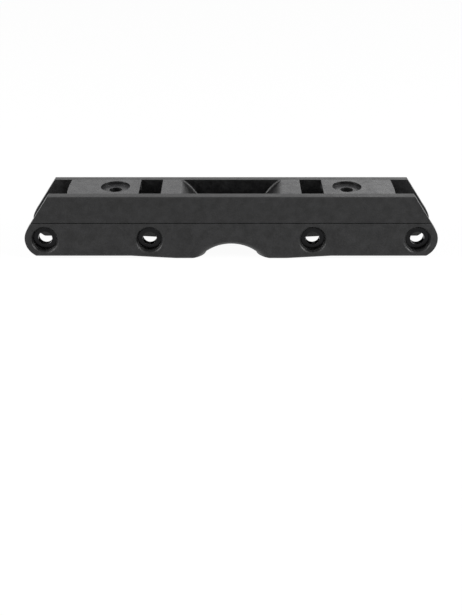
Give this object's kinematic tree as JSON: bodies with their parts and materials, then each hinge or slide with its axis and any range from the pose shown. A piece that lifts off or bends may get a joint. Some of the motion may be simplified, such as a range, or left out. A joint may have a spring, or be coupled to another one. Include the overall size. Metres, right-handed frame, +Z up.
{
  "type": "inline skate frame",
  "caption": "Bare moulded inline skate frame for grinding, with flared side walls, an arched saddle between wheel pods, slotted mounting decks and recessed axle holes.",
  "frame": {"origin": "under the middle of the frame, at the level of its lowest rim", "axes": "+X along the frame to the front, +Y to the left, +Z up towards the boot"},
  "size_m": [0.2956, 0.0464, 0.047],
  "materials": {
    "chassis_nylon": "fine spark-eroded texture",
    "wall_nylon": "fine spark-eroded texture",
    "block_nylon": "smoother satin",
    "bush_steel": "black, satin"
  },
  "bodies": {
    "root": {"upper_chassis": "chassis_nylon", "left_side_wall": "wall_nylon", "right_side_wall": "wall_nylon", "h_block": "block_nylon", "bush_front_outer_left": "bush_steel", "bush_front_inner_left": "bush_steel", "bush_rear_inner_left": "bush_steel", "bush_rear_outer_left": "bush_steel", "bush_front_outer_right": "bush_steel", "bush_front_inner_right": "bush_steel", "bush_rear_inner_right": "bush_steel", "bush_rear_outer_right": "bush_steel"}
  },
  "joints": []
}
